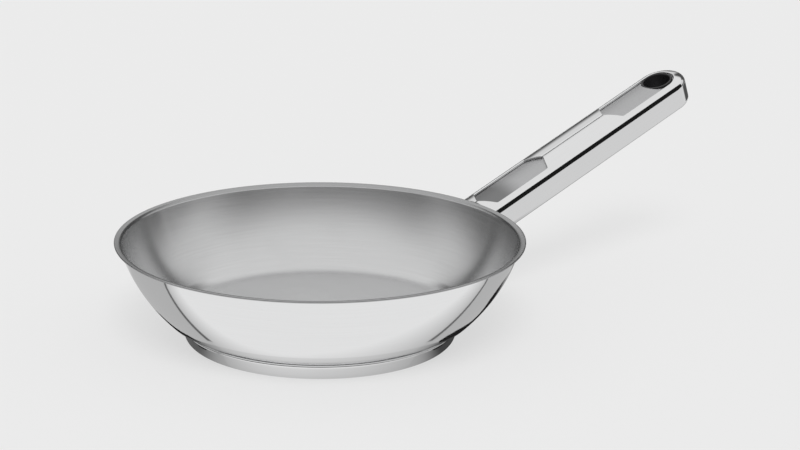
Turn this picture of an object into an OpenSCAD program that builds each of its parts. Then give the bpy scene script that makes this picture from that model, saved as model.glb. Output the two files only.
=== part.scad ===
// Omelette pan with a capsule base and a folded sheet handle.
// Origin: centre of the base's underside, on the pan's axis. +Z is up, the handle points along +X.

/* [Bowl] */
// Outer diameter over the pouring lip
rim_d = 200; // [160:1:280]
// Height of the rim above the surface the pan stands on
pan_h = 50; // [45:0.5:60]
// Thickness of the bowl's sheet
bowl_t = 1; // [0.6:0.1:1.6]
// How far the rim stands out past the flat floor
wall_spread = 33.5; // [30:0.5:40]
// Outer radius of the bend between floor and wall
corner_r = 13; // [8:0.5:16]
// Steepness of the wall where the corner bend ends
corner_angle = 44; // [36:0.5:50]
// Radius of the bend that turns the pouring lip outwards
lip_bend_r = 1.2; // [0.8:0.1:2.5]
// Width of the pouring lip beyond its bend
lip_w = 1.9; // [1:0.1:3]
// Rise of the pouring lip from level
lip_angle = 10; // [5:1:25]

/* [Base] */
// Height of the capsule base below the bowl
base_h = 9.3; // [7:0.1:14]
// How far the base stands in from the rim
base_inset = 32.5; // [31:0.5:42]
// Height of the groove between the capsule and the bowl
groove_h = 1.4; // [0.8:0.1:2]
// Depth of the groove from the capsule's side
groove_w = 3; // [2:0.1:4]
// Thickness of the base's steel capsule
cap_t = 0.8; // [0.5:0.1:1.2]
// Lean of the capsule's wall from upright
cap_lean = 14; // [0:1:20]
// Outer radius of the capsule's lower edge
cap_edge_r = 3.5; // [1.5:0.1:4]
// Inner radius of the capsule's upper bends, where it turns in and up to the bowl
cap_turn_r = 0.3; // [0.1:0.1:0.4]
// Depth of the turned rings in the underside
ring_depth = 0.25; // [0.1:0.05:0.4]
// Width of each turned ring
ring_w = 1.6; // [0.8:0.1:3]
// Number of turned rings
ring_count = 3; // [1:1:4]

/* [Handle] */
// Upward tilt of the handle
handle_tilt = 20; // [10:0.5:30]
// Length from the rim to the end, along the handle
handle_l = 151; // [140:1:240]
// Width across the handle
handle_w = 26.6; // [24:0.2:36]
// Height of the handle from crown to underside
handle_h = 17.5; // [15:0.5:24]
// Thickness of the handle's sheet
handle_t = 1.2; // [0.8:0.1:1.6]
// Radius of the crown across the top
crown_r = 26; // [20:0.5:60]
// Outer radius of the upper long edges
top_edge_r = 3.5; // [3:0.1:4.5]
// Outer radius of the lower long edges
low_edge_r = 3; // [2.5:0.1:4]
// Gap at the seam where the two edges of the sheet meet
seam_gap = 0.4; // [0.2:0.1:1]
// Gap between the handle's end and the pouring lip
lip_gap = 0.4; // [0.2:0.1:1.5]

/* [Handle openings] */
// Distance from the rim to the first opening
near_start = 1.4; // [0.5:0.1:10]
// Length of the first opening, point to point
near_l = 47.6; // [30:0.2:55]
// Distance from the rim to the point of the second opening
far_start = 94.5; // [85:0.5:110]
// Width of both openings
opening_w = 18; // [12:0.2:20]
// Length of each opening's pointed end
point_l = 5.5; // [3:0.1:8]
// Distance from the handle's end to the centre of the hanging hole
hole_inset = 15.3; // [14:0.1:24]

/* [Inside the handle] */
// Thickness of the stiffening channel
channel_t = 1; // [0.8:0.1:1.4]
// Clearance between the channel and the crown of the shell
channel_gap = 0.15; // [0.1:0.05:0.3]
// Bore of the hanging sleeve
sleeve_bore = 14.4; // [10:0.1:14.8]
// Wall of the hanging sleeve
sleeve_t = 1.1; // [0.8:0.1:1.5]
// Clearance round the hanging sleeve
sleeve_gap = 0.1; // [0.05:0.05:0.3]
// Least width of the channel's edge that shows round the sleeve
sleeve_rim = 0.6; // [0.3:0.1:2]
// Thickness of the sleeve's collar under the handle
collar_t = 1; // [0.6:0.1:2]
// Width of the sleeve's collar beyond its wall
collar_w = 1; // [0.6:0.1:1.5]
// Thickness of the bracket welded to the bowl
bracket_t = 2; // [1.5:0.1:3]
// Width of the bracket
bracket_w = 17; // [12:0.5:18]
// Length of the bracket's tongue along the handle
tongue_l = 44; // [30:1:70]

/* [Hidden] */
$fn = 96;
round_fn = 180;
// Greatest gap between a bend's arc and the chords that it is drawn with
arc_gap = 0.01;

rim_r = rim_d / 2;
floor_r = rim_r - wall_spread;
base_r = rim_r - base_inset;

// A sheet's outer face is a run of straights [length, 0] and bends [radius, angle turned], where a
// positive angle turns left. The sheet lies to the left of that face.
function turned(p, a) = [p[0] * cos(a) - p[1] * sin(a), p[0] * sin(a) + p[1] * cos(a)];
function arc_to(radius, a) = radius * [sin(abs(a)), sign(a) * (1 - cos(a))];
function step_end(step) = step[1] == 0 ? [step[0], 0] : arc_to(step[0], step[1]);
function heading(steps, i) = i == 0 ? 0 : heading(steps, i - 1) + steps[i - 1][1];
function run_end(steps, i) = i == 0
    ? [0, 0]
    : run_end(steps, i - 1) + turned(step_end(steps[i - 1]), heading(steps, i - 1));
function chords(step) = step[1] == 0 ? 1 : ceil(abs(step[1]) / (2 * acos(1 - arc_gap / step[0])));
// Points along one step, at a distance to the left of the outer face
function step_points(step, inset) =
    let (n = chords(step), radius = step[0] - sign(step[1]) * inset)
    [for (i = [1:n]) [0, inset] + (step[1] == 0 ? [step[0], 0] : arc_to(radius, step[1] * i / n))];
function on_axis(p) = [abs(p[0]) < 1e-6 ? 0 : p[0], p[1]];
function run_points(steps, inset) = [
    [0, inset],
    for (i = [0:len(steps) - 1])
        for (p = step_points(steps[i], inset)) on_axis(run_end(steps, i) + turned(p, heading(steps, i)))
];
function reversed(list) = [for (i = [len(list) - 1:-1:0]) list[i]];
function shifted(points, by) = [for (p = points) p + by];

// A sheet of thickness t, bent along a run
module sheet_run(steps, t) {
    polygon(concat(run_points(steps, 0), reversed(run_points(steps, t))));
}

// The wall sweeps in one arc from the corner bend to the lip's bend. Its radius and its last angle
// follow from the two places that it joins.
corner_end = run_end([[floor_r, 0], [corner_r, corner_angle]], 2);
lip_rise = lip_w * sin(lip_angle) + bowl_t * cos(lip_angle);
sweep_out = rim_r - corner_end[0] - lip_w * cos(lip_angle) + lip_bend_r * sin(lip_angle);
sweep_up = pan_h - base_h - lip_rise - corner_end[1] - lip_bend_r * cos(lip_angle);
sweep_lag = sweep_up * cos(corner_angle) - sweep_out * sin(corner_angle);
sweep_r = (pow(sweep_out, 2) + pow(sweep_up, 2) - pow(lip_bend_r, 2)) / (2 * (lip_bend_r + sweep_lag));
wall_angle = atan2(sweep_out + sweep_r * sin(corner_angle), sweep_r * cos(corner_angle) - sweep_up);
wall_steps = [[floor_r, 0], [corner_r, corner_angle], [sweep_r, wall_angle - corner_angle]];
bowl_steps = concat(wall_steps, [[lip_bend_r, lip_angle - wall_angle], [lip_w, 0]]);
lip_under = base_h + run_end(wall_steps, 3)[1];

// The capsule's wall leans outwards from its lower edge, turns in above the core's rim, and turns up
// again to meet the bowl, which leaves a groove all round
cap_heading = 90 - cap_lean;
cap_top_r = cap_t + cap_turn_r;
cap_wall_rise = base_h - groove_h - cap_top_r * (1 + cos(cap_heading)) - cap_edge_r * (1 - cos(cap_heading));
cap_wall_l = cap_wall_rise / cos(cap_lean);
cap_wall_r = base_r - cap_top_r * (1 - sin(cap_heading));
cap_flat_r = cap_wall_r - cap_edge_r * sin(cap_heading) - cap_wall_l * sin(cap_lean);
cap_steps = [
    [cap_flat_r, 0],
    [cap_edge_r, cap_heading],
    [cap_wall_l, 0],
    [cap_top_r, 180 - cap_heading],
    [groove_w - cap_top_r - cap_turn_r, 0],
    [cap_turn_r, -90],
    [groove_h - cap_turn_r + cap_t, 0]
];
function ring_r(i) = cap_flat_r * (i + 1) / (ring_count + 2);

// The handle's own frame starts at the rim: X runs along it, Z stands up from its crown
half_w = handle_w / 2;
dome_x = handle_l - half_w;
hole_x = handle_l - hole_inset;
// The handle's blank starts inside the bowl, whose wall then trims it
root_l = wall_spread;
// Angle at which a crown of radius r meets edge bends of radius e on a section of half width w,
// and how far below the crown those bends turn upright
function flank(w, r, e) = asin((w - e) / (r - e));
function flank_drop(w, r, e) = r - (r - e) * cos(flank(w, r, e));
shell_flank = flank(half_w, crown_r, top_edge_r);
shell_drop = flank_drop(half_w, crown_r, top_edge_r);
shell_steps = [
    [half_w - low_edge_r, 0],
    [low_edge_r, 90],
    [handle_h - low_edge_r - shell_drop, 0],
    [top_edge_r, 90 - shell_flank],
    [crown_r, shell_flank]
];
shell_outer = shifted(run_points(shell_steps, 0), [0, -handle_h]);
shell_inner = shifted(run_points(shell_steps, handle_t), [0, -handle_h]);

// The stiffening channel lies inside the shell, its legs flat against the shell's sides
channel_w = half_w - handle_t;
channel_top = handle_t + channel_gap;
channel_edge_r = top_edge_r - channel_top;
channel_crown_r = crown_r - channel_top;
channel_flank = flank(channel_w, channel_crown_r, channel_edge_r);
channel_drop = flank_drop(channel_w, channel_crown_r, channel_edge_r);
leg_l = handle_h - low_edge_r - channel_top - channel_drop;
channel_steps = [[leg_l, 0], [channel_edge_r, 90 - channel_flank], [channel_crown_r, channel_flank]];
function upright(points) = [for (p = points) on_axis([channel_w, low_edge_r - handle_h] + turned(p, 90))];
channel_outer = upright(run_points(channel_steps, 0));
channel_inner = upright(run_points(channel_steps, channel_t));
channel_x = lip_gap + 0.6;

sleeve_r = sleeve_bore / 2 + sleeve_t;
sleeve_hole_r = sleeve_r + sleeve_gap;
sleeve_top = handle_t + 2 * channel_gap;

// The bowl, from its flat floor up to the pouring lip
module pan_body() {
    color("silver") translate([0, 0, base_h]) rotate_extrude($fn = round_fn) sheet_run(bowl_steps, bowl_t);
}

// Half section of the capsule's outer face, or of the space inside it, closed by the bowl's floor
module cap_section(inset) {
    points = run_points(cap_steps, inset);
    intersection() {
        polygon(concat(points, [[0, points[len(points) - 1][1]]]));
        square([base_r + cap_t, base_h]);
    }
}

// Aluminium core that spreads the heat, closed in by the capsule and the bowl
module core_disc() {
    color("gainsboro") rotate_extrude($fn = round_fn) cap_section(cap_t);
}

// Steel capsule pressed round the core, with turned rings in its underside
module base_cap() {
    color("lightgray") difference() {
        rotate_extrude($fn = round_fn) difference() {
            cap_section(0);
            cap_section(cap_t);
        }
        for (i = [1:ring_count]) rotate_extrude($fn = round_fn)
            translate([ring_r(i) - ring_w / 2, -ring_depth]) square([ring_w, 2 * ring_depth]);
    }
}

// Puts a piece drawn in the handle's own frame at the rim
module at_handle() {
    translate([rim_r, 0, pan_h]) rotate([0, -handle_tilt, 0]) children();
}

// Sheet between two half outlines, swept along the handle on both sides and round its domed end
module swept_handle(from, outer, inner) {
    half = concat(outer, reversed(inner));
    translate([from, 0, 0]) rotate([90, 0, 90]) linear_extrude(dome_x - from) {
        polygon(half);
        mirror([1, 0]) polygon(half);
    }
    translate([dome_x, 0, 0]) rotate(-90) rotate_extrude(angle = 180) polygon(half);
}

// Space inside the bowl's outer face, grown outwards, with clearance round the pouring lip
module bowl_space(grow) {
    reach = 60;
    wall = run_points(wall_steps, -grow);
    lip_end = rim_r + lip_gap;
    translate([0, 0, base_h]) rotate(-reach / 2) rotate_extrude(angle = reach, $fn = round_fn)
        polygon(concat(wall, [[0, wall[len(wall) - 1][1]]]));
    translate([0, 0, lip_under - lip_gap]) cylinder(r = lip_end, h = pan_h, $fn = round_fn);
}

// Outline of an opening with a pointed start
module pointed_outline(from, to, end_point) {
    w = opening_w / 2;
    polygon([[from, 0], [from + point_l, -w], [to - end_point, -w], [to, 0], [to - end_point, w], [from + point_l, w]]);
}

module openings_outline() {
    pointed_outline(near_start, near_start + near_l, point_l);
    pointed_outline(far_start, hole_x, 0);
    translate([hole_x, 0]) circle(r = max(opening_w / 2, sleeve_hole_r + sleeve_rim));
}

// Folded sheet whose two edges meet in a seam along the crown and part for the two openings
module handle_shell() {
    color("whitesmoke") difference() {
        at_handle() difference() {
            swept_handle(-root_l, shell_outer, shell_inner);
            translate([0, 0, -handle_h / 2]) linear_extrude(handle_h) openings_outline();
            translate([-root_l - 1, -seam_gap / 2, -handle_h / 2]) cube([far_start + root_l + 2, seam_gap, handle_h]);
            translate([hole_x, 0, -handle_h - 1]) cylinder(r = sleeve_hole_r, h = handle_h / 2);
        }
        bowl_space(0);
    }
}

// Channel that closes the openings from below and stiffens the grip
module handle_channel() {
    color("darkgray") at_handle() difference() {
        swept_handle(channel_x, channel_outer, channel_inner);
        translate([hole_x, 0, -handle_h]) cylinder(r = sleeve_hole_r, h = handle_h);
    }
}

// Bracket with a saddle welded to the bowl and a tongue welded to the shell's floor
module handle_bracket() {
    floor_z = handle_t - handle_h;
    color("dimgray") difference() {
        intersection() {
            union() {
                bowl_space(bracket_t);
                at_handle() translate([-root_l, -bracket_w / 2, floor_z]) cube([root_l + tongue_l, bracket_w, bracket_t]);
            }
            at_handle() translate([-root_l, -bracket_w / 2, floor_z]) cube([root_l + tongue_l, bracket_w, leg_l]);
        }
        bowl_space(0);
    }
}

// Black sleeve through the hanging hole, with a collar under the handle
module hang_sleeve() {
    color("black") at_handle() translate([hole_x, 0, -handle_h - collar_t]) difference() {
        union() {
            cylinder(r = sleeve_r + collar_w, h = collar_t);
            cylinder(r = sleeve_r, h = handle_h + collar_t - sleeve_top);
        }
        translate([0, 0, -1]) cylinder(d = sleeve_bore, h = handle_h + collar_t);
    }
}

pan_body();
core_disc();
base_cap();
handle_shell();
handle_channel();
handle_bracket();
hang_sleeve();
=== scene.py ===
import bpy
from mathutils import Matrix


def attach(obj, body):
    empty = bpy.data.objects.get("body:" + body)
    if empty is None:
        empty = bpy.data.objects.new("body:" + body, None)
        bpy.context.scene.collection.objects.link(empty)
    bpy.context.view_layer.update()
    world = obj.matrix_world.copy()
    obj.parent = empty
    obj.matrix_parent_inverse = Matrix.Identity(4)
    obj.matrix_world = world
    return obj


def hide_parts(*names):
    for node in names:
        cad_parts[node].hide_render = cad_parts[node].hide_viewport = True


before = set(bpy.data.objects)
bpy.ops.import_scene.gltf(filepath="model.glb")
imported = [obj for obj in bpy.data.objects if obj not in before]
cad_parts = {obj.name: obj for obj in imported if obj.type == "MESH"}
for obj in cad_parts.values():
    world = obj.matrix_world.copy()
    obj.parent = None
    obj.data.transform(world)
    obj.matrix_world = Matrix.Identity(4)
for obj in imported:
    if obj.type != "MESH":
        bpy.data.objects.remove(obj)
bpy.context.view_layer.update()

from math import acos, asin, atan2, ceil, cos, hypot, pi, radians, sin, sqrt

import bmesh
import bpy
from mathutils import Matrix, Vector

MM = 0.001

# Sizes, in millimetres, as in the CAD

# Bowl
RIM_R = 100.0
PAN_H = 50.0
BOWL_T = 1.0
FLOOR_R = 66.5
CORNER_R = 13.0
CORNER_ANGLE = radians(44)
LIP_BEND_R = 1.2
LIP_W = 1.9
LIP_ANGLE = radians(10)

# Capsule base
BASE_H = 9.3
BASE_R = 67.5
CAP_T = 0.8
CAP_LEAN = radians(14)
CAP_EDGE_R = 3.5
CAP_TURN_R = 0.3
GROOVE_H = 1.4
GROOVE_W = 3.0
RING_DEPTH = 0.25
RING_W = 1.6
RING_COUNT = 3

# Handle, in its own frame: x runs along it from the rim, u across it, and v stands up from its crown
TILT = radians(20)
HANDLE_L = 151.0
HALF_W = 13.3
HANDLE_H = 17.5
HANDLE_T = 1.2
CROWN_R = 26.0
TOP_EDGE_R = 3.5
LOW_EDGE_R = 3.0
LIP_GAP = 0.4
HOLE_INSET = 15.3
HOLE_X = HANDLE_L - HOLE_INSET
DOME_X = HANDLE_L - HALF_W

# The handle's openings. The seam is drawn wider than the CAD's 0.4, so that it shows.
SEAM_HALF = 0.35
NEAR_START = 1.4
NEAR_END = 49.0
FAR_START = 94.5
OPEN_HALF = 9.0
POINT_L = 5.5

# Inside the handle
CHANNEL_T = 1.0
CHANNEL_GAP = 0.15
SLEEVE_BORE_R = 7.2
SLEEVE_T = 1.1
SLEEVE_GAP = 0.1
COLLAR_T = 1.0
COLLAR_W = 1.0
SLEEVE_R = SLEEVE_BORE_R + SLEEVE_T
SLEEVE_HOLE_R = SLEEVE_R + SLEEVE_GAP
SLEEVE_TOP = HANDLE_T + 2 * CHANNEL_GAP

# The wall sweeps in one arc from the corner bend to the lip's bend
corner_end = (FLOOR_R + CORNER_R * sin(CORNER_ANGLE), CORNER_R * (1 - cos(CORNER_ANGLE)))
lip_rise = LIP_W * sin(LIP_ANGLE) + BOWL_T * cos(LIP_ANGLE)
sweep_out = RIM_R - corner_end[0] - LIP_W * cos(LIP_ANGLE) + LIP_BEND_R * sin(LIP_ANGLE)
sweep_up = PAN_H - BASE_H - lip_rise - corner_end[1] - LIP_BEND_R * cos(LIP_ANGLE)
sweep_lag = sweep_up * cos(CORNER_ANGLE) - sweep_out * sin(CORNER_ANGLE)
SWEEP_R = (sweep_out ** 2 + sweep_up ** 2 - LIP_BEND_R ** 2) / (2 * (LIP_BEND_R + sweep_lag))
WALL_ANGLE = atan2(sweep_out + SWEEP_R * sin(CORNER_ANGLE), SWEEP_R * cos(CORNER_ANGLE) - sweep_up)
SWEEP_X = corner_end[0] - SWEEP_R * sin(CORNER_ANGLE)
SWEEP_Z = BASE_H + corner_end[1] + SWEEP_R * cos(CORNER_ANGLE)
WALL_TOP = SWEEP_Z - SWEEP_R * cos(WALL_ANGLE)

# Outlines

def run(steps, inset, fineness=radians(3), straight=4.0):
    """Points of a sheet's face, at a distance to the left of its run of straights and bends.

    A straight is (length, 0) and a bend is (radius, angle)."""
    x, z, heading = 0.0, 0.0, 0.0
    points = [(0.0, inset)]
    for length, angle in steps:
        if angle == 0:
            n = max(1, ceil(length / straight))
            for i in range(1, n + 1):
                d = length * i / n
                points.append((x + d * cos(heading) - inset * sin(heading),
                               z + d * sin(heading) + inset * cos(heading)))
            x, z = x + length * cos(heading), z + length * sin(heading)
            continue
        side = 1 if angle > 0 else -1
        cx, cz = x - side * length * sin(heading), z + side * length * cos(heading)
        n = max(2, ceil(abs(angle) / fineness))
        for i in range(1, n + 1):
            a = heading + angle * i / n
            radius = length - side * inset
            points.append((cx + side * radius * sin(a), cz - side * radius * cos(a)))
        heading += angle
        x, z = cx + side * length * sin(heading), cz - side * length * cos(heading)
    return points


def arc(cu, cv, radius, start, end, n):
    """Points of an arc round (cu, cv), both ends included."""
    angles = [start + (end - start) * i / n for i in range(n + 1)]
    return [(cu + radius * cos(angle), cv + radius * sin(angle)) for angle in angles]


def between(a, b, n):
    """Points on a straight from a to b, without a and b, crowded a little towards both ends."""
    shares = [0.5 - 0.5 * cos(pi * i / n) for i in range(1, n)]
    return [(a[0] + (b[0] - a[0]) * share, a[1] + (b[1] - a[1]) * share) for share in shares]


def raised(points, by):
    return [(max(0.0, x), z + by) for x, z in points]


# Shader nodes

# Numbers of the sockets that a Mix node uses for colours
MIX_FACTOR, MIX_A, MIX_B, MIX_RESULT = 0, 6, 7, 2


def add(nodes, kind, inputs=None, **settings):
    """Adds a node; inputs are values or sockets, by the input's name or number."""
    made = nodes.new("ShaderNode" + kind)
    for key, value in settings.items():
        setattr(made, key, value)
    for key, value in (inputs or {}).items():
        if isinstance(value, bpy.types.NodeSocket):
            nodes.id_data.links.new(value, made.inputs[key])
        else:
            made.inputs[key].default_value = value
    return made


def calc(nodes, operation, *values):
    return add(nodes, "Math", dict(enumerate(values)), operation=operation).outputs[0]


def plus(nodes, a, b):
    return calc(nodes, "ADD", a, b)


def minus(nodes, a, b):
    return calc(nodes, "SUBTRACT", a, b)


def times(nodes, a, b):
    return calc(nodes, "MULTIPLY", a, b)


def greatest(nodes, a, b):
    return calc(nodes, "MAXIMUM", a, b)


def crossed(nodes, share, a, b):
    """a where the share is 0, and b where it is 1."""
    return plus(nodes, times(nodes, a, minus(nodes, 1.0, share)), times(nodes, b, share))


def spread(nodes, value, low, high, to_low, to_high, kind="SMOOTHSTEP"):
    """Carries a value's range from low to high over to to_low to to_high, held at both ends."""
    inputs = {"Value": value, "From Min": low, "From Max": high, "To Min": to_low, "To Max": to_high}
    return add(nodes, "MapRange", inputs, interpolation_type=kind).outputs["Result"]


def spot_on(nodes):
    """Where a point lies on its object, in metres."""
    return add(nodes, "TexCoord").outputs["Object"]


def axes_of(nodes, vector):
    return add(nodes, "SeparateXYZ", {0: vector}).outputs


def flattened(nodes, axes):
    """The level part of a vector, from its axes."""
    return add(nodes, "CombineXYZ", {"X": axes["X"], "Y": axes["Y"]}).outputs[0]


def size_of(nodes, vector):
    return add(nodes, "VectorMath", {0: vector}, operation="LENGTH").outputs["Value"]


def unit(nodes, vector):
    return add(nodes, "VectorMath", {0: vector}, operation="NORMALIZE").outputs["Vector"]


def scaled(nodes, vector, by):
    return add(nodes, "VectorMath", {0: vector, "Scale": by}, operation="SCALE").outputs["Vector"]


def reach_along(nodes, vector, way):
    """How far a vector goes in a direction."""
    return add(nodes, "VectorMath", {0: vector, 1: way}, operation="DOT_PRODUCT").outputs["Value"]


def noise(nodes, vector, scale, detail, roughness):
    inputs = {"Vector": vector, "Scale": scale, "Detail": detail, "Roughness": roughness}
    return add(nodes, "TexNoise", inputs).outputs["Fac"]


def mixed(nodes, share, a, b):
    """A colour between a and b."""
    inputs = {MIX_FACTOR: share, MIX_A: a, MIX_B: b}
    return add(nodes, "Mix", inputs, data_type="RGBA").outputs[MIX_RESULT]


def blank(name):
    material = bpy.data.materials.new(name)
    material.use_nodes = True
    nodes = material.node_tree.nodes
    return material, nodes, nodes["Principled BSDF"]


def bare(name):
    """A material with an output and no shader yet."""
    material, nodes, shader = blank(name)
    nodes.remove(shader)
    return material, nodes


def show(nodes, shader):
    """Makes a shader the material's surface."""
    nodes.id_data.links.new(shader.outputs[0], nodes["Material Output"].inputs["Surface"])


# Materials

# Ranges of a noise that are carried over to a colour or a roughness, and the noise's mean
MIDDLE = (0.3, 0.7)
MOST = (0.25, 0.75)
UPPER = (0.45, 0.75)
NOISE_MEAN = 0.5

CLOUD_SCALE = 38.0
GRAIN_SCALE = 900.0
GRAIN_SHARE = 0.15
ACROSS_LINES = 0.25

STEEL = (0.87, 0.872, 0.875, 1.0)
SATIN = (0.74, 0.742, 0.745, 1.0)
DULL_LIP = (0.45, 0.452, 0.455, 1.0)
CHANNEL_GREY = (0.56, 0.562, 0.567, 1.0)
BRACKET_GREY = (0.58, 0.58, 0.585, 1.0)
ALUMINIUM = (0.80, 0.80, 0.81, 1.0)

# Painted shade on the channel beside the bowl: from and to which distance from the pan's axis it fades out,
# in metres, how uneven its edge is, and the share of the colour that it leaves
ROOT_SHADE_FADE = (0.114, 0.127)
ROOT_SHADE_UNEVEN = 0.008
ROOT_SHADE_SHARE = 0.47

SLEEVE_BLACK = (0.010, 0.010, 0.011, 1)
SLEEVE_WORN = (0.022, 0.022, 0.024, 1)
SLEEVE_ROUGH = (0.38, 0.52)
SLEEVE_CLOUD_SCALE = 120.0
SLEEVE_GRAIN_SCALE = 3500.0
SLEEVE_GRAIN_DEPTH = 8e-6


def round_lines(nodes, pitch, breaks):
    """Coordinates that turn a noise into fine lines round the Z axis, at a pitch in metres.

    breaks sets how often a line changes on its way round."""
    axes = axes_of(nodes, spot_on(nodes))
    flat = flattened(nodes, axes)
    line = times(nodes, plus(nodes, size_of(nodes, flat), axes["Z"]), 1 / pitch)
    turn = scaled(nodes, unit(nodes, flat), breaks)
    shift = add(nodes, "CombineXYZ", {"Z": line}).outputs[0]
    return add(nodes, "VectorMath", {0: turn, 1: shift}, operation="ADD").outputs["Vector"]


def long_lines(nodes, pitch, reach):
    """Coordinates that turn a noise into fine lines along the handle. pitch and reach are in metres."""
    turned = add(nodes, "Mapping", {"Vector": spot_on(nodes), "Rotation": (0, TILT, 0)}).outputs["Vector"]
    scale = (1 / reach, 1 / pitch, 1 / pitch)
    return add(nodes, "Mapping", {"Vector": turned, "Scale": scale}).outputs["Vector"]


def painted_root_shade(nodes, cloud):
    """Painted shade: darkens the handle's inner sheet beside the bowl."""
    across = axes_of(nodes, spot_on(nodes))["X"]
    uneven = times(nodes, minus(nodes, cloud, NOISE_MEAN), ROOT_SHADE_UNEVEN)
    return spread(nodes, plus(nodes, across, uneven), *ROOT_SHADE_FADE, ROOT_SHADE_SHARE, 1.0)


def metal(name, colour, rough, lines, line_depth, tone, smudge=0.02, turned=0.0, painted_shade=None):
    """Steel or aluminium with fine lines of polishing or brushing, faint smudges and scuffs.

    lines is a maker of line coordinates with its two values. tone is how much darker the lines are, and
    turned is how much the gloss is drawn out across lines that run round the Z axis."""
    material, nodes, shader = blank(name)
    links = material.node_tree.links
    coordinates, pitch, reach = lines
    fine = noise(nodes, coordinates(nodes, pitch, reach), scale=1.0, detail=4.0, roughness=0.6)
    spot = spot_on(nodes)
    cloud = noise(nodes, spot, CLOUD_SCALE, detail=3.0, roughness=0.5)
    grain = noise(nodes, spot, GRAIN_SCALE, detail=2.0, roughness=0.5)
    dark = tuple(c * (1 - tone) for c in colour[:3]) + (1.0,)
    shown = mixed(nodes, spread(nodes, fine, *MIDDLE, 0.0, 1.0), dark, colour)
    # Painted shade darkens the colour, where a maker of it is given
    if painted_shade:
        shown = scaled(nodes, shown, painted_shade(nodes, cloud))
    links.new(shown, shader.inputs["Base Color"])
    streak = spread(nodes, fine, *MOST, *rough, "LINEAR")
    haze = spread(nodes, cloud, *UPPER, 0.0, smudge)
    links.new(plus(nodes, streak, haze), shader.inputs["Roughness"])
    height = plus(nodes, fine, times(nodes, grain, GRAIN_SHARE))
    bump = add(nodes, "Bump", {"Strength": 1.0, "Distance": line_depth, "Height": height})
    links.new(bump.outputs["Normal"], shader.inputs["Normal"])
    shader.inputs["Metallic"].default_value = 1.0
    if turned:
        ring = add(nodes, "Tangent", direction_type="RADIAL", axis="Z")
        links.new(ring.outputs[0], shader.inputs["Tangent"])
        shader.inputs["Anisotropic"].default_value = turned
        shader.inputs["Anisotropic Rotation"].default_value = ACROSS_LINES
    return material


def sleeve_plastic():
    material, nodes, shader = blank("black_sleeve")
    links = material.node_tree.links
    spot = spot_on(nodes)
    grain = noise(nodes, spot, SLEEVE_GRAIN_SCALE, detail=2.0, roughness=0.6)
    cloud = noise(nodes, spot, SLEEVE_CLOUD_SCALE, detail=2.0, roughness=0.5)
    shade = add(nodes, "ValToRGB", {"Fac": cloud})
    shade.color_ramp.elements[0].color = SLEEVE_BLACK
    shade.color_ramp.elements[1].color = SLEEVE_WORN
    links.new(shade.outputs["Color"], shader.inputs["Base Color"])
    links.new(spread(nodes, cloud, *MIDDLE, *SLEEVE_ROUGH), shader.inputs["Roughness"])
    bump = add(nodes, "Bump", {"Strength": 1.0, "Distance": SLEEVE_GRAIN_DEPTH, "Height": grain})
    links.new(bump.outputs["Normal"], shader.inputs["Normal"])
    return material


outside_steel = metal("outside_steel", STEEL, rough=(0.035, 0.075), lines=(round_lines, 0.0004, 1.6),
                      line_depth=4e-8, tone=0.02, smudge=0.03)
inside_steel = metal("inside_steel", SATIN, rough=(0.19, 0.25), lines=(round_lines, 0.00022, 2.4),
                     line_depth=1.5e-6, tone=0.07, smudge=0.03, turned=0.9)
lip_steel = metal("lip_steel", DULL_LIP, rough=(0.22, 0.30), lines=(round_lines, 0.0003, 2.0),
                  line_depth=3e-7, tone=0.03)
underside_steel = metal("underside_steel", STEEL, rough=(0.16, 0.30), lines=(round_lines, 0.00025, 1.2),
                        line_depth=1.2e-6, tone=0.10, smudge=0.08, turned=0.6)
handle_steel = metal("handle_steel", STEEL, rough=(0.035, 0.08), lines=(long_lines, 0.0004, 0.03),
                     line_depth=4e-8, tone=0.02, smudge=0.03)
# The channel's colour gets painted shade beside the bowl
channel_steel = metal("channel_steel", CHANNEL_GREY, rough=(0.34, 0.44), lines=(long_lines, 0.00022, 0.02),
                      line_depth=1.5e-6, tone=0.08, smudge=0.03, painted_shade=painted_root_shade)
bracket_steel = metal("bracket_steel", BRACKET_GREY, rough=(0.30, 0.45), lines=(long_lines, 0.0005, 0.01),
                      line_depth=2e-6, tone=0.12, smudge=0.10)
core_aluminium = metal("core_aluminium", ALUMINIUM, rough=(0.32, 0.50), lines=(round_lines, 0.0006, 2.0),
                       line_depth=3e-6, tone=0.08, smudge=0.08)
black_plastic = sleeve_plastic()

# Mesh makers

ON_AXIS = 1e-6
JOIN_REACH = 0.0005


def finish_mesh(bm, name, materials, replaced, place=None):
    """Turns a bmesh in millimetres into a smooth object in metres that rides on the pan's body."""
    bmesh.ops.recalc_face_normals(bm, faces=bm.faces)
    for face in bm.faces:
        face.smooth = True
    mesh = bpy.data.meshes.new(name)
    bm.to_mesh(mesh)
    bm.free()
    mesh.transform(Matrix.Scale(MM, 4))
    if place is not None:
        mesh.transform(place)
    piece = bpy.data.objects.new(name, mesh)
    bpy.context.collection.objects.link(piece)
    for material in materials:
        mesh.materials.append(material)
    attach(piece, "root")
    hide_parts(replaced)


def lathe(bm, loop, kinds, segments=288):
    """Revolves a closed loop of (radius, height) about Z. kinds holds each step's material number."""
    turns = [2 * pi * k / segments for k in range(segments)]
    rings = []
    for radius, z in loop:
        if radius < ON_AXIS:
            rings.append([bm.verts.new((0, 0, z))])
        else:
            rings.append([bm.verts.new((radius * cos(turn), radius * sin(turn), z)) for turn in turns])
    for i, ring in enumerate(rings):
        following = rings[(i + 1) % len(rings)]
        if len(ring) == 1 and len(following) == 1:
            continue
        for k in range(segments):
            m = (k + 1) % segments
            corners = [ring[k % len(ring)], ring[m % len(ring)]]
            corners += [following[m % len(following)], following[k % len(following)]]
            corners = [v for j, v in enumerate(corners) if v not in corners[:j]]
            bm.faces.new(corners).material_index = kinds[i]


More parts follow.
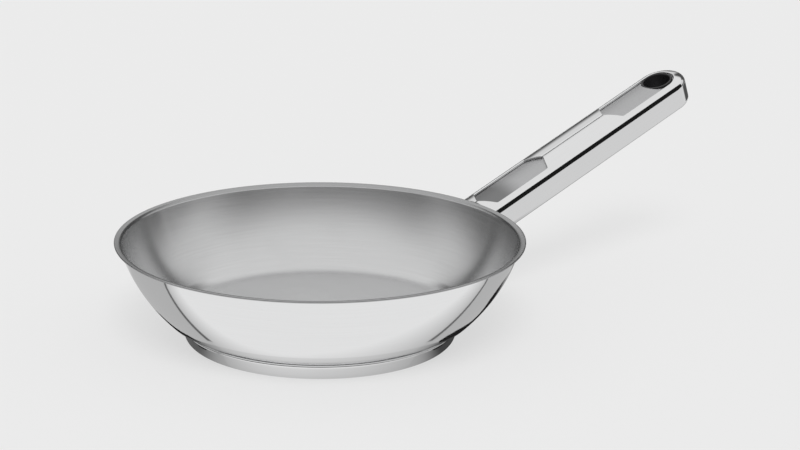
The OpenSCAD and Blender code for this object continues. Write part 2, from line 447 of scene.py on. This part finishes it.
def swept_half_sheets(bm, stations, section):
    """Joins the section loops of a half sheet along the handle, and of its mirror image.

    Each station is (place, key). place(u, v, side) puts a section point in space, section(key) gives the
    loop, and key["start"] is how far from the middle plane the loop begins."""
    for side in (1, -1):
        rows = [[bm.verts.new(place(u, v, side)) for u, v in section(key)] for place, key in stations]
        opened = [key["start"] > JOIN_REACH for _, key in stations]
        for a, b, open_a, open_b in zip(rows, rows[1:], opened, opened[1:]):
            for j in range(len(a)):
                k = (j + 1) % len(a)
                if k > 0 or open_a or open_b:
                    bm.faces.new((a[j], b[j], b[k], a[k]))
        end = rows[0]
        for j in range(len(end) // 2 - 1):
            bm.faces.new((end[j], end[j + 1], end[-2 - j], end[-1 - j]))
    bmesh.ops.remove_doubles(bm, verts=bm.verts, dist=JOIN_REACH)
    bmesh.ops.dissolve_degenerate(bm, edges=bm.edges, dist=JOIN_REACH)


# Bowl

BOWL_FINENESS = radians(2)
LIP_ROUND = BOWL_T / 2
LIP_ROUND_STEPS = 10
LIP_FINISH_W = 3.5
bowl_steps = [(FLOOR_R, 0), (CORNER_R, CORNER_ANGLE), (SWEEP_R, WALL_ANGLE - CORNER_ANGLE),
              (LIP_BEND_R, LIP_ANGLE - WALL_ANGLE), (LIP_W - LIP_ROUND, 0)]


def bowl():
    """The bowl, one bent sheet: polished outside, satin inside and duller along its lip."""
    outer = raised(run(bowl_steps, 0, BOWL_FINENESS), BASE_H)
    inner = raised(run(bowl_steps, BOWL_T, BOWL_FINENESS), BASE_H)
    (ax, az), (bx, bz) = outer[-1], inner[-1]
    cx, cz = (ax + bx) / 2, (az + bz) / 2
    start = atan2(az - cz, ax - cx)
    nose = arc(cx, cz, LIP_ROUND, start, start + pi, LIP_ROUND_STEPS)[1:-1]
    loop = outer + nose + inner[::-1]
    finishes = [outside_steel, inside_steel, lip_steel]
    kinds = []
    for i, (radius, _) in enumerate(loop):
        if i < len(outer):
            kinds.append(finishes.index(outside_steel))
        elif radius > RIM_R - LIP_FINISH_W:
            kinds.append(finishes.index(lip_steel))
        else:
            kinds.append(finishes.index(inside_steel))
    bm = bmesh.new()
    lathe(bm, loop, kinds)
    finish_mesh(bm, "bowl", finishes, "pan_body")


bowl()

# Capsule base

CAP_HEADING = pi / 2 - CAP_LEAN
CAP_TOP_R = CAP_T + CAP_TURN_R
cap_wall_rise = (BASE_H - GROOVE_H - CAP_TOP_R * (1 + cos(CAP_HEADING))
                 - CAP_EDGE_R * (1 - cos(CAP_HEADING)))
cap_wall_l = cap_wall_rise / cos(CAP_LEAN)
cap_wall_r = BASE_R - CAP_TOP_R * (1 - sin(CAP_HEADING))
cap_flat_r = cap_wall_r - CAP_EDGE_R * sin(CAP_HEADING) - cap_wall_l * sin(CAP_LEAN)
cap_steps = [(cap_flat_r, 0), (CAP_EDGE_R, CAP_HEADING), (cap_wall_l, 0), (CAP_TOP_R, pi - CAP_HEADING),
             (GROOVE_W - CAP_TOP_R - CAP_TURN_R, 0), (CAP_TURN_R, -pi / 2), (GROOVE_H - CAP_TURN_R, 0)]

# Rounding and lean of each turned ring's sides, and how far flat points stand off from a bend
RING_EDGE_R = 0.12
RING_EDGE_STEPS = 3
RING_LEAN = 0.02
RING_STAND_OFF = 3 * RING_EDGE_R
FLAT_STAND_OFF = 0.4

# How many steps of the lower edge's bend have the turned finish of the underside
TURNED_BEND_STEPS = 6


def ring_points(middle):
    """Section of a turned ring in the underside, from its inner side to its outer side."""
    a, b = middle - RING_W / 2, middle + RING_W / 2
    points = [(a - RING_STAND_OFF, 0.0)]
    points += arc(a - RING_EDGE_R, RING_EDGE_R, RING_EDGE_R, -pi / 2, 0, RING_EDGE_STEPS)
    points += [(a + RING_LEAN, RING_DEPTH), (b - RING_LEAN, RING_DEPTH)]
    points += arc(b + RING_EDGE_R, RING_EDGE_R, RING_EDGE_R, pi, 3 * pi / 2, RING_EDGE_STEPS)
    return points + [(b + RING_STAND_OFF, 0.0)]


def base():
    """The capsule round the core, with a groove under the bowl and turned rings underneath."""
    outer = run(cap_steps, 0)
    inner = run(cap_steps, CAP_T)
    bottom = [(0.0, 0.0)]
    for i in range(1, RING_COUNT + 1):
        middle = cap_flat_r * (i + 1) / (RING_COUNT + 2)
        halfway = (bottom[-1][0] + middle - RING_W / 2) / 2
        bottom += [(halfway, 0.0)] + ring_points(middle)
    bottom += [((bottom[-1][0] + cap_flat_r) / 2, 0.0), (cap_flat_r - FLAT_STAND_OFF, 0.0)]
    side = [p for p in outer if p[0] > cap_flat_r - JOIN_REACH]
    loop = bottom + side + inner[::-1]
    finishes = [outside_steel, underside_steel]
    turned = len(bottom) + TURNED_BEND_STEPS
    kinds = [finishes.index(underside_steel if i < turned else outside_steel) for i in range(len(loop))]
    bm = bmesh.new()
    lathe(bm, loop, kinds)
    finish_mesh(bm, "capsule_base", finishes, "base_cap")


base()

# Handle

to_handle = Matrix.Translation((RIM_R * MM, 0, PAN_H * MM)) @ Matrix.Rotation(-TILT, 4, "Y")

# How deep the handle's root reaches into the bowl's wall, and how its end there is searched for
ROOT_SINK = 0.5
ROOT_SCAN_START = 3.0
ROOT_SCAN_STEP = 0.2
ROOT_HALVINGS = 12

# Roundings of the cut edges, and what keeps the domed end inside the CAD's box
EDGE_ROUND = 0.55
LOWER_EDGE_ROUND = 0.12
DOME_TRIM = 0.03

# Steps of the sections' bends and straights, of the trimmed root and of the turn round the domed end
EDGE_STEPS = 5
FLAT_STEPS = 5
LOW_BEND_STEPS = 10
TOP_BEND_STEPS = 12
CROWN_STEPS = 7
CHANNEL_BEND_STEPS = 10
CHANNEL_CROWN_STEPS = 9
ROOT_STEPS = 8
DOME_STEPS = 30
CHANNEL_DOME_STEPS = 24

# How far apart sections stand along the handle, and how far from each mark there are more of them
STATION_STEP = 2.4
MARK_CROWDING = (0.15, 0.45, 0.9, 1.5)

# Where the straight part of the shell and of the channel start, and how soft an opening's corners are
SHELL_START = NEAR_START - 0.2
CHANNEL_START = LIP_GAP + 0.6
CORNER_SOFTNESS = 0.35


def in_bowl(x, u, v):
    """Whether a point of the handle's own frame lies in the bowl's wall or too close to its lip."""
    reach = hypot(RIM_R + x * cos(TILT) - v * sin(TILT), u)
    z = PAN_H + x * sin(TILT) + v * cos(TILT)
    if z > WALL_TOP - LIP_GAP:
        return reach < RIM_R + LIP_GAP
    return reach < SWEEP_X + sqrt(SWEEP_R ** 2 - (SWEEP_Z - z) ** 2) - ROOT_SINK


def root_x(u, v):
    """Where a line along the handle leaves the bowl."""
    x = ROOT_SCAN_START
    while not in_bowl(x, u, v):
        x -= ROOT_SCAN_STEP
    low, high = x, x + ROOT_SCAN_STEP
    for _ in range(ROOT_HALVINGS):
        middle = (low + high) / 2
        low, high = (middle, high) if in_bowl(middle, u, v) else (low, middle)
    return high


def flank(w, r, e):
    """Angle at which a crown of radius r meets edge bends of radius e on a section of half width w."""
    return asin((w - e) / (r - e))


shell_flank = flank(HALF_W, CROWN_R, TOP_EDGE_R)
shell_drop = CROWN_R - (CROWN_R - TOP_EDGE_R) * cos(shell_flank)
channel_w = HALF_W - HANDLE_T
channel_top = HANDLE_T + CHANNEL_GAP
channel_edge_r = TOP_EDGE_R - channel_top
channel_crown_r = CROWN_R - channel_top
channel_flank = flank(channel_w, channel_crown_r, channel_edge_r)
channel_drop = channel_crown_r - (channel_crown_r - channel_edge_r) * cos(channel_flank)


def crown_face(radius, start_angle, end_u, n):
    """Points of a crown of that radius, from an angle to a distance from the middle, ends left out."""
    end_angle = acos(min(1.0, end_u / radius))
    return arc(0, -CROWN_R, radius, start_angle, end_angle, n)[1:-1]


def edge_arc(radius, at_u, e, outward):
    """Rounded edge of a crown face at a cut: from the crown's own slope to upright."""
    centre_r = radius - e if outward else radius + e
    angle = acos((at_u + e) / centre_r)
    cu, cv = centre_r * cos(angle), centre_r * sin(angle) - CROWN_R
    if outward:
        return arc(cu, cv, e, angle, pi, EDGE_STEPS)
    return arc(cu, cv, e, pi, pi + angle, EDGE_STEPS)


def shell_section(key):
    def face(t):
        start = (key["start"], t - HANDLE_H)
        low = arc(HALF_W - LOW_EDGE_R, LOW_EDGE_R - HANDLE_H, LOW_EDGE_R - t, -pi / 2, 0, LOW_BEND_STEPS)
        top = arc(HALF_W - TOP_EDGE_R, -shell_drop, TOP_EDGE_R - t, 0, pi / 2 - shell_flank, TOP_BEND_STEPS)
        points = [start] + between(start, low[0], FLAT_STEPS) + low
        points += between(low[-1], top[0], FLAT_STEPS) + top
        return points + crown_face(CROWN_R - t, pi / 2 - shell_flank, key["edge"] + EDGE_ROUND, CROWN_STEPS)
    upper = edge_arc(CROWN_R, key["edge"], EDGE_ROUND, True)
    lower = edge_arc(CROWN_R - HANDLE_T, key["edge"], LOWER_EDGE_ROUND, False)
    return face(0) + upper + lower + face(HANDLE_T)[::-1]


def channel_section(key):
    def face(t):
        radius = channel_crown_r - t
        start_angle = acos(key["start"] / radius)
        top = arc(channel_w - channel_edge_r, -channel_drop - channel_top, channel_edge_r - t,
                  pi / 2 - channel_flank, 0, CHANNEL_BEND_STEPS)
        crown = arc(0, -CROWN_R, radius, start_angle, pi / 2 - channel_flank, CHANNEL_CROWN_STEPS)[:-1]
        foot = (channel_w - t, LOW_EDGE_R - HANDLE_H)
        return crown + top + between(top[-1], foot, FLAT_STEPS) + [foot]
    return face(0) + face(CHANNEL_T)[::-1]


def soft_min(a, b):
    """The smaller of two values, rounded off where they cross."""
    return (a + b - sqrt((a - b) ** 2 + 4 * CORNER_SOFTNESS ** 2)) / 2


def hole_reach(radius, x):
    """How far the edge of a round hole stands from the middle plane at x."""
    return sqrt(max(0.0, radius ** 2 - (x - HOLE_X) ** 2))


def hole_reach_on_dome(radius, turn):
    """How far the edge of a round hole stands from the dome's axis at a turn round it."""
    off = (DOME_X - HOLE_X) * sin(turn)
    return -off + sqrt(off ** 2 + radius ** 2 - (DOME_X - HOLE_X) ** 2)


def opening_edge(x):
    """Half width of the handle's openings at x."""
    slope = OPEN_HALF / POINT_L
    reach = SEAM_HALF
    if NEAR_START < x < NEAR_END:
        reach = soft_min(soft_min(OPEN_HALF, (x - NEAR_START) * slope), (NEAR_END - x) * slope)
    elif FAR_START < x <= HOLE_X:
        reach = soft_min(OPEN_HALF, (x - FAR_START) * slope)
    elif x > HOLE_X:
        reach = hole_reach(OPEN_HALF, x)
    return max(SEAM_HALF, reach)


def straight_place(x):
    return lambda u, v, side: (x, side * u, v)


def root_place(fraction, x):
    return lambda u, v, side: (root_x(u, v) * (1 - fraction) + x * fraction, side * u, v)


def dome_place(turn):
    return lambda u, v, side: (DOME_X + (u - DOME_TRIM) * sin(turn), side * u * cos(turn), v)


def spaced(marks):
    """Places from the first mark to the last, at most a step apart, closer round each mark."""
    found = set()
    for a, b in zip(marks, marks[1:]):
        n = max(2, ceil((b - a) / STATION_STEP))
        found.update(round(a + (b - a) * i / n, 4) for i in range(n + 1))
        for near in MARK_CROWDING:
            if b - a > 4 * near:
                found.update((round(a + near, 4), round(b - near, 4)))
    return sorted(found)


def handle_shell():
    """The handle's outer sheet, with its trimmed root, its seam, two openings and a domed end."""
    root_key = {"edge": SEAM_HALF, "start": 0.0}
    stations = [(root_place(i / ROOT_STEPS, SHELL_START), root_key) for i in range(ROOT_STEPS)]
    marks = [SHELL_START, NEAR_START, NEAR_START + POINT_L, NEAR_END - POINT_L, NEAR_END, FAR_START,
             FAR_START + POINT_L, HOLE_X - SLEEVE_HOLE_R, HOLE_X, DOME_X]
    for x in spaced(marks):
        key = {"edge": opening_edge(x), "start": hole_reach(SLEEVE_HOLE_R, x)}
        stations.append((straight_place(x), key))
    for i in range(1, DOME_STEPS + 1):
        turn = pi / 2 * i / DOME_STEPS
        key = {"edge": hole_reach_on_dome(OPEN_HALF, turn), "start": hole_reach_on_dome(SLEEVE_HOLE_R, turn)}
        stations.append((dome_place(turn), key))
    bm = bmesh.new()
    swept_half_sheets(bm, stations, shell_section)
    finish_mesh(bm, "handle_grip", [handle_steel], "handle_shell", to_handle)


handle_shell()


def channel():
    """The satin sheet inside the handle, which shows through both openings."""
    stations = []
    for x in spaced([CHANNEL_START, HOLE_X - SLEEVE_HOLE_R, HOLE_X, DOME_X]):
        stations.append((straight_place(x), {"start": hole_reach(SLEEVE_HOLE_R, x)}))
    for i in range(1, CHANNEL_DOME_STEPS + 1):
        turn = pi / 2 * i / CHANNEL_DOME_STEPS
        stations.append((dome_place(turn), {"start": hole_reach_on_dome(SLEEVE_HOLE_R, turn)}))
    bm = bmesh.new()
    swept_half_sheets(bm, stations, channel_section)
    finish_mesh(bm, "handle_liner", [channel_steel], "handle_channel", to_handle)


channel()

# Roundings of the sleeve's edges, and how far the points on its straights stand off from them
SLEEVE_SEGMENTS = 96
SLEEVE_ROUND = 0.3
SLEEVE_ROUND_STEPS = 5
SLEEVE_STAND_OFF = 1.0


def sleeve():
    """The sleeve through the hanging hole, with its collar underneath."""
    top = HANDLE_H + COLLAR_T - SLEEVE_TOP
    collar_r = SLEEVE_R + COLLAR_W

    def corner(radius, z, start, end):
        return arc(radius, z, SLEEVE_ROUND, start, end, SLEEVE_ROUND_STEPS)

    loop = [(SLEEVE_BORE_R, 2 * SLEEVE_STAND_OFF), (SLEEVE_BORE_R, top - SLEEVE_STAND_OFF)]
    loop += corner(SLEEVE_BORE_R + SLEEVE_ROUND, top - SLEEVE_ROUND, pi, pi / 2)
    loop += corner(SLEEVE_R - SLEEVE_ROUND, top - SLEEVE_ROUND, pi / 2, 0)
    loop += [(SLEEVE_R, z) for z in (top - SLEEVE_STAND_OFF, COLLAR_T + SLEEVE_STAND_OFF, COLLAR_T)]
    loop += corner(collar_r - SLEEVE_ROUND, COLLAR_T - SLEEVE_ROUND, pi / 2, 0)
    loop += corner(collar_r - SLEEVE_ROUND, SLEEVE_ROUND, 0, -pi / 2)
    loop += corner(SLEEVE_BORE_R + SLEEVE_ROUND, SLEEVE_ROUND, 3 * pi / 2, pi)
    bm = bmesh.new()
    lathe(bm, loop, [0] * len(loop), SLEEVE_SEGMENTS)
    place = to_handle @ Matrix.Translation((HOLE_X * MM, 0, -(HANDLE_H + COLLAR_T) * MM))
    finish_mesh(bm, "hanging_sleeve", [black_plastic], "hang_sleeve", place)


sleeve()

# Pieces that keep their CAD shape

for node, material in (("core_disc", core_aluminium), ("handle_bracket", bracket_steel)):
    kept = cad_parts[node]
    kept.data.materials.clear()
    kept.data.materials.append(material)

# Camera

# From here on lengths are in metres, except where a comment says millimetres

# Level directions towards the camera and to its right, and where the camera stands and looks
CAMERA_WAY = Vector((-0.6143, -0.7891, 0.0))
CAMERA_RIGHT = Vector((0.7891, -0.6143, 0.0))
CAMERA_RISE = radians(16.56)
CAMERA_REACH = 1.2
AIM_HEIGHT = 0.0561

# Lens and sensor, in millimetres, and the picture's shift as a share of its width
LENS = 111.3
SENSOR_W = 36.0
FRAME_SHIFT = 0.1


def photo_camera():
    """The camera at the photograph's viewing angle."""
    camera = bpy.data.cameras.new("camera")
    camera.sensor_width = SENSOR_W
    camera.lens = LENS
    camera.shift_x = FRAME_SHIFT
    eye = bpy.data.objects.new("camera", camera)
    bpy.context.collection.objects.link(eye)
    back = CAMERA_WAY * cos(CAMERA_RISE) + Vector((0, 0, sin(CAMERA_RISE)))
    eye.location = Vector((0, 0, AIM_HEIGHT)) + back * CAMERA_REACH
    eye.rotation_mode = "QUATERNION"
    eye.rotation_quaternion = back.to_track_quat("Z", "Y")
    bpy.context.scene.camera = eye


photo_camera()
bpy.context.scene.view_settings.view_transform = "Standard"

# Studio

# Strengths of the pale surround and of the world's soft light on the pan, and the floor
PALE = 0.83
SOFT_LIGHT = 0.62
FLOOR_REACH = 30.0
FLOOR_GREY = (0.26, 0.26, 0.26, 1)
FLOOR_GLOW = 0.60


def stage_plate(name, corners, material):
    """A flat face of the stage, from its corners in metres."""
    mesh = bpy.data.meshes.new(name)
    mesh.from_pydata([tuple(corner) for corner in corners], [], [range(len(corners))])
    mesh.materials.append(material)
    plate = bpy.data.objects.new(name, mesh)
    bpy.context.collection.objects.link(plate)
    return plate


def disc(radius, height, n=128):
    turns = [2 * pi * i / n for i in range(n)]
    return [(radius * cos(turn), radius * sin(turn), height) for turn in turns]


def mirrored_only(plate):
    """Shows a card to the metal's reflections alone, in place of a photographer's flag or reflector."""
    for way in ("camera", "diffuse", "transmission", "volume_scatter", "shadow"):
        setattr(plate, "visible_" + way, False)


def ray_kinds(nodes):
    """Whether a ray was mirrored or came through something clear, and whether it is the camera's own."""
    path = add(nodes, "LightPath").outputs
    return greatest(nodes, path["Is Glossy Ray"], path["Is Transmission Ray"]), path["Is Camera Ray"]


def studio_floor():
    """A plain floor, pale to the camera and to the metal, which keeps the pan's soft shadow."""
    material, nodes = bare("floor")
    matt = add(nodes, "BsdfDiffuse", {"Color": FLOOR_GREY})
    mirrored, straight = ray_kinds(nodes)
    seen = greatest(nodes, straight, mirrored)
    glow = add(nodes, "Emission", {"Strength": times(nodes, seen, FLOOR_GLOW)})
    show(nodes, add(nodes, "AddShader", {0: matt.outputs[0], 1: glow.outputs[0]}))
    stage_plate("floor", disc(FLOOR_REACH, 0.0), material)


studio_floor()

# What the metal mirrors of the room, as shares of the pale surround. A turn is the cosine of a level
# direction's angle to the camera's side, and a height is the sine of the elevation. Each pair is where a
# change begins and ends. A cut is what is taken off the share, and a skew moves a change on the left.
SIDE_SHARE = 0.87
FRONT_TURN = (0.10, 0.72)
FRONT_SKEW = 0.2
FRONT_HEIGHT = (0.31, 0.67)
FRONT_CUT = (0.74, 0.09)
REAR_TURN = (-0.51, -0.43)
REAR_HEIGHT = (0.087, 0.30)
REAR_NARROWING = 0.20
REAR_CUT = 0.77
SLOT_TURN = (-0.985, -0.965)
SLOT_SKEW = 0.12
SLOT_HEIGHT = (0.01, 0.05)


def mirrored_room(nodes, level, height=0.0):
    """How much of the pale surround the metal mirrors in a level direction at a height: most of it at the
    sides, less in front, and little in the dark room behind, apart from a bright slot in its middle.

    Also gives how far the direction lies in the front and in the dark rear, and how far to the left."""
    facing = reach_along(nodes, level, CAMERA_WAY)
    leftwards = calc(nodes, "MINIMUM", reach_along(nodes, level, CAMERA_RIGHT), 0.0)
    toward = minus(nodes, facing, times(nodes, leftwards, FRONT_SKEW))
    front = spread(nodes, toward, *FRONT_TURN, 0.0, 1.0)
    narrowing = spread(nodes, height, *REAR_HEIGHT, 0.0, REAR_NARROWING, "LINEAR")
    rear = spread(nodes, plus(nodes, facing, narrowing), *REAR_TURN, 1.0, 0.0)
    away = plus(nodes, facing, times(nodes, leftwards, SLOT_SKEW))
    slot = times(nodes, spread(nodes, away, *SLOT_TURN, 1.0, 0.0),
                 spread(nodes, height, *SLOT_HEIGHT, 0.0, 1.0))
    rear = times(nodes, rear, minus(nodes, 1.0, slot))
    share = minus(nodes, SIDE_SHARE, times(nodes, rear, REAR_CUT))
    dim = spread(nodes, height, *FRONT_HEIGHT, *FRONT_CUT, "LINEAR")
    return minus(nodes, share, times(nodes, front, dim)), front, rear, leftwards


# What the metal mirrors of the table, with light and shade painted on it. Places are ahead of the pan's axis
# or aside from it, as the camera sees them, or radii. Each pair is where a change begins and ends, or from
# and to which strength it goes.
TABLE_R = 3.0
TABLE_HEIGHT = 0.0002

# Edge between the painted shade at the back and the painted light at the front. It slopes back on the left
# and bends back on the right.
EDGE_AHEAD = 0.056
EDGE_LEFT_SLOPE = 0.14
EDGE_RIGHT_BEND = -2.3
LIT_ASIDE = (-0.06, 0.06)
LIT_REACH = (0.018, 0.026)
LIT_STRENGTHS = (0.52, 0.86)
BACK_AHEAD = (-0.11, -0.05)
BACK_SHADES = (0.70, 0.48)

# Painted dark line along that edge, outside the pan's foot
LINE_W = (0.0008, 0.0022)
LINE_DARKNESS = 0.25
LINE_INNER_R = (0.0755, 0.0775)

# Shade in front of the pan's foot and under its handle
FOOT_AHEAD = (0.028, 0.052)
FOOT_ASIDE = (-0.02, 0.02)
FOOT_DEEPEST = (0.24, 0.12)
FOOT_LIGHTEST = 0.88
FOOT_R = (0.0705, 0.0735)
UNDER_HANDLE_X = 0.11
UNDER_HANDLE_Y = (0.008, 0.022)
UNDER_HANDLE_SHADE = 0.45

# Where the table goes over into its plain far part, and where that goes over into the room
FAR_R = (0.16, 0.24)
FAR_GREY = 0.70
ROOM_R = (0.66, 0.72)


def table_shade():
    """What the steel mirrors of the table: painted light on its front, painted shade on its back and the
    pan's own painted shade.
    """
    material, nodes = bare("table_shade")
    spot = spot_on(nodes)
    axes = axes_of(nodes, spot)
    radius = size_of(nodes, spot)
    ahead = reach_along(nodes, spot, CAMERA_WAY)
    aside = reach_along(nodes, spot, CAMERA_RIGHT)

    left = times(nodes, calc(nodes, "MINIMUM", aside, 0.0), EDGE_LEFT_SLOPE)
    right = times(nodes, calc(nodes, "POWER", greatest(nodes, aside, 0.0), 2.0), EDGE_RIGHT_BEND)
    edge = minus(nodes, ahead, plus(nodes, EDGE_AHEAD, plus(nodes, left, right)))
    fade = spread(nodes, aside, *LIT_ASIDE, *LIT_REACH)
    lit_front = spread(nodes, calc(nodes, "DIVIDE", edge, fade), 0.0, 1.0, *LIT_STRENGTHS, "LINEAR")
    shaded_back = spread(nodes, ahead, *BACK_AHEAD, *BACK_SHADES)
    shade = crossed(nodes, calc(nodes, "GREATER_THAN", edge, 0.0), shaded_back, lit_front)

    line = spread(nodes, calc(nodes, "ABSOLUTE", edge), *LINE_W, LINE_DARKNESS, 1.0)
    line = greatest(nodes, line, spread(nodes, radius, *LINE_INNER_R, 1.0, 0.0))
    deepest = spread(nodes, aside, *FOOT_ASIDE, *FOOT_DEEPEST)
    foot = spread(nodes, ahead, *FOOT_AHEAD, deepest, FOOT_LIGHTEST)
    foot = greatest(nodes, foot, spread(nodes, radius, *FOOT_R, 0.0, 1.0))
    under = spread(nodes, calc(nodes, "ABSOLUTE", axes["Y"]), *UNDER_HANDLE_Y, UNDER_HANDLE_SHADE, 1.0)
    beyond = calc(nodes, "GREATER_THAN", axes["X"], UNDER_HANDLE_X)
    under = greatest(nodes, under, minus(nodes, 1.0, beyond))
    for part in (line, foot, under):
        shade = times(nodes, shade, part)

    far = spread(nodes, radius, *FAR_R, 0.0, 1.0)
    shade = crossed(nodes, far, shade, times(nodes, under, FAR_GREY))
    share, *_ = mirrored_room(nodes, unit(nodes, spot))
    shade = crossed(nodes, spread(nodes, radius, *ROOM_R, 0.0, 1.0), shade, times(nodes, share, PALE))
    show(nodes, add(nodes, "Emission", {"Strength": shade}))
    mirrored_only(stage_plate("table_shade", disc(TABLE_R, TABLE_HEIGHT), material))


table_shade()

# The pan's contact shade on the table, which fades out towards the back
CONTACT_HEIGHT = 0.0004
CONTACT_GLOW = 0.012
CONTACT_FADE = (-0.075, -0.030)

# Its outlines, as places towards the camera and to its right, in millimetres
CONTACT_R = 71
CONTACT_NEAR = arc(0, 0, CONTACT_R, radians(140), radians(60), 8)
CONTACT_RIGHT = [(38, 62.5), (34, 68), (26, 74), (15, 78.5), (7, 81), (2, 83.5), (-5, 88), (-9, 94),
                 (-13, 102), (-23, 109), (-36, 115), (-60, 119), (-80, 116), (-80, 70)]
CONTACT_LEFT = [(36, -62), (26, -69.5), (15, -74.5), (5, -79), (-10, -85.5), (-45, -88), (-90, -70),
                (-90, -40)]


def contact_shade():
    """The pan's darkest shade on the table: close to its base, and longer behind it on the right."""
    material, nodes = bare("contact_shade")
    ahead = reach_along(nodes, spot_on(nodes), CAMERA_WAY)
    share = spread(nodes, ahead, *CONTACT_FADE, 0.0, 1.0)
    clear = add(nodes, "BsdfTransparent")
    glow = add(nodes, "Emission", {"Strength": CONTACT_GLOW})
    show(nodes, add(nodes, "MixShader", {0: share, 1: clear.outputs[0], 2: glow.outputs[0]}))
    right = CONTACT_NEAR + CONTACT_RIGHT
    left = [(t, -s) for t, s in CONTACT_NEAR] + CONTACT_LEFT
    for name, outline in (("shade_right", right), ("shade_left", left)):
        spots = [(CAMERA_WAY * t + CAMERA_RIGHT * s) * MM for t, s in outline]
        mirrored_only(stage_plate(name, [(v.x, v.y, CONTACT_HEIGHT) for v in spots], material))


contact_shade()

# The handle's flag: its way from the handle, as a turn to the right from the camera's way, and in
# millimetres its distance, its ends along the handle, and its edges below and above the handle's line
FLAG_TURN = radians(66)
FLAG_DISTANCE = 28
FLAG_START, FLAG_END = -6, 152
FLAG_LOW, FLAG_HIGH = -6.5, 15
FLAG_GLOW = 0.01


def handle_flag():
    """The flag beside the handle, which draws the long dark line on its rounded edge."""
    material, nodes = bare("handle_flag")
    show(nodes, add(nodes, "Emission", {"Strength": FLAG_GLOW}))
    aside = (CAMERA_WAY * cos(FLAG_TURN) + CAMERA_RIGHT * sin(FLAG_TURN)) * FLAG_DISTANCE
    ends = ((FLAG_START, FLAG_LOW), (FLAG_END, FLAG_LOW), (FLAG_END, FLAG_HIGH), (FLAG_START, FLAG_HIGH))
    corners = []
    for x, rise in ends:
        spot = Vector((RIM_R + x * cos(TILT), 0.0, PAN_H + x * sin(TILT) + rise))
        corners.append((spot + aside) * MM)
    mirrored_only(stage_plate("handle_flag", corners, material))


handle_flag()

# The room's brightness above the horizon as the metal mirrors it: dim low at the sides, and a bright
# ceiling. Heights are sines of the elevation.
SIDE_HEIGHT = (0.10, 0.42)
SIDE_LOWEST = 0.12
SIDE_SKEW = 0.06
CEILING_HEIGHT = (0.58, 0.72)


def studio_world():
    """A plain pale surround to the camera, the room to the metal, and soft light to the rest."""
    world = bpy.data.worlds.new("studio")
    bpy.context.scene.world = world
    world.use_nodes = True
    nodes = world.node_tree.nodes
    axes = axes_of(nodes, add(nodes, "TexCoord").outputs["Generated"])
    level = unit(nodes, flattened(nodes, axes))
    share, front, rear, leftwards = mirrored_room(nodes, level, axes["Z"])
    rise = plus(nodes, axes["Z"], times(nodes, leftwards, SIDE_SKEW))
    soft = spread(nodes, rise, *SIDE_HEIGHT, SIDE_LOWEST, 1.0)
    soft = greatest(nodes, soft, greatest(nodes, front, rear))
    ceiling = spread(nodes, axes["Z"], *CEILING_HEIGHT, 0.0, 1.0)
    share = crossed(nodes, ceiling, times(nodes, share, soft), 1.0)
    mirrored, straight = ray_kinds(nodes)
    pale = plus(nodes, straight, times(nodes, mirrored, share))
    plain = minus(nodes, 1.0, greatest(nodes, straight, mirrored))
    seen = plus(nodes, times(nodes, pale, PALE), times(nodes, plain, SOFT_LIGHT))
    world.node_tree.links.new(seen, nodes["Background"].inputs["Strength"])
    nodes["Background"].inputs["Color"].default_value = (1, 1, 1, 1)


studio_world()

# The key light: how strong and how broad it is, and how much it leans to the camera's side
KEY_STRENGTH = 1.1
KEY_ANGLE = radians(25)
KEY_LEAN = 0.8


def key_light():
    """A broad soft light from high on the camera's side, which the metal doesn't mirror."""
    sun = bpy.data.lights.new("key", "SUN")
    sun.energy = KEY_STRENGTH
    sun.angle = KEY_ANGLE
    key = bpy.data.objects.new("key", sun)
    bpy.context.collection.objects.link(key)
    key.rotation_mode = "QUATERNION"
    key.rotation_quaternion = (CAMERA_WAY * KEY_LEAN + Vector((0, 0, 1.0))).to_track_quat("Z", "Y")
    key.visible_glossy = False


key_light()
